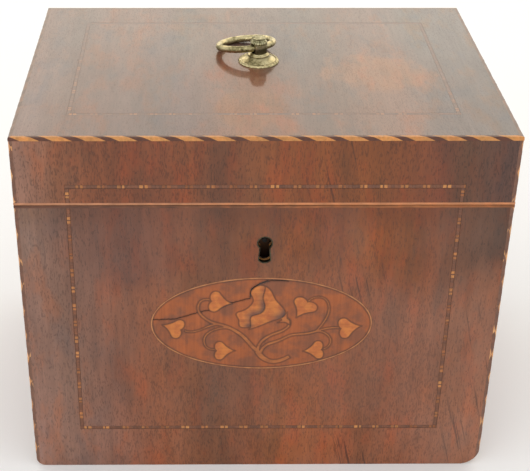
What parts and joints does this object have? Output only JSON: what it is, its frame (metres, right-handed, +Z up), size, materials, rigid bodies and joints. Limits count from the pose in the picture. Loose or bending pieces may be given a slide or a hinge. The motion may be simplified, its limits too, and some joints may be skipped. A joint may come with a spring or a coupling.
{
  "type": "tea caddy",
  "caption": "Rectangular veneered tea caddy with hinged lid, inlaid lines and marquetry oval, lock, ring handle and two lidded compartments.",
  "frame": {"origin": "centre of the rectangular underside, on the surface the caddy stands on", "axes": "+X to the right seen from the front, +Y to the back, +Z up; the keyhole faces -Y"},
  "size_m": [0.178, 0.134, 0.1558],
  "materials": {
    "mahogany": "french polished, vertical figure",
    "carcass_wood": "aged bare pine and mahogany, waxed",
    "rope_stringing": "boxwood and dark wood in slanted lengths, polished",
    "boxwood": "aged boxwood, polished",
    "chequer_stringing": "boxwood blocks in a dark line, polished",
    "oval_ground": "reddish veneer, polished",
    "shaded_inlay": "sand-shaded fruitwood, polished",
    "brass": "aged brass",
    "handle_brass": "tarnished cast brass",
    "steel": "dark filed iron and steel",
    "tea_foil": "dull crumpled tea foil"
  },
  "bodies": {
    "case": {"bottom_board": "carcass_wood", "front_wall": "carcass_wood", "back_wall": "carcass_wood", "left_wall": "carcass_wood", "right_wall": "carcass_wood", "front_veneer": "mahogany", "back_veneer": "mahogany", "left_veneer": "mahogany", "right_veneer": "mahogany", "case_corner_stringing": "rope_stringing", "case_rim_stringing": "boxwood", "case_chequer_line": "chequer_stringing", "oval_border": "boxwood", "oval_ground": "oval_ground", "inlay_leaves": "shaded_inlay", "inlay_flower": "shaded_inlay", "inlay_stems": "shaded_inlay", "keyhole_escutcheon": "brass", "lock_case": "steel", "lock_selvedge": "brass", "lock_key_pin": "steel", "bolt_spring": "steel", "lock_screws": "brass", "hinge_pins": "brass", "case_hinge_screws": "brass", "left_hinge_case_leaf": "brass", "right_hinge_case_leaf": "brass", "compartment_divider": "mahogany", "compartment_facings": "carcass_wood", "left_foil_lining": "tea_foil", "right_foil_lining": "tea_foil"},
    "lid": {"lid_top_board": "carcass_wood", "lid_front_rail": "carcass_wood", "lid_back_rail": "carcass_wood", "lid_left_rail": "carcass_wood", "lid_right_rail": "carcass_wood", "lid_top_veneer": "mahogany", "lid_front_veneer": "mahogany", "lid_back_veneer": "mahogany", "lid_left_veneer": "mahogany", "lid_right_veneer": "mahogany", "lid_corner_stringing": "rope_stringing", "lid_edge_stringing": "rope_stringing", "lid_rim_stringing": "boxwood", "lid_front_chequer_line": "chequer_stringing", "lid_top_chequer_line": "chequer_stringing", "left_hinge_lid_leaf": "brass", "right_hinge_lid_leaf": "brass", "lid_hinge_screws": "brass", "lock_link_plate": "brass", "link_plate_screws": "brass", "handle_rosette": "handle_brass", "handle_post": "handle_brass", "handle_nut": "brass"},
    "ring": {"handle_ring": "handle_brass"},
    "left_inner_lid": {"left_inner_lid": "mahogany", "left_inner_knob": "brass"},
    "right_inner_lid": {"right_inner_lid": "mahogany", "right_inner_knob": "brass"},
    "lock_bolt": {"lock_bolt": "steel"}
  },
  "joints": [
    {"name": "lid_hinge", "type": "hinge", "parent": "case", "child": "lid", "pos_m": [0, 0.0664, 0.11933], "axis": [-1, 0, 0], "range_deg": [0, 100]},
    {"name": "ring_swing", "type": "hinge", "parent": "lid", "child": "ring", "pos_m": [0, 0.004, 0.1516], "axis": [0.8942, 0.4478, 0], "range_deg": [0, 202.9]},
    {"name": "left_inner_lid_lift", "type": "slide", "parent": "case", "child": "left_inner_lid", "axis": [0, 0, 1], "range_m": [0, 0.021]},
    {"name": "right_inner_lid_lift", "type": "slide", "parent": "case", "child": "right_inner_lid", "axis": [0, 0, 1], "range_m": [0, 0.021]},
    {"name": "lock_bolt_slide", "type": "slide", "parent": "case", "child": "lock_bolt", "axis": [1, 0, 0], "range_m": [0, 0.004]}
  ]
}
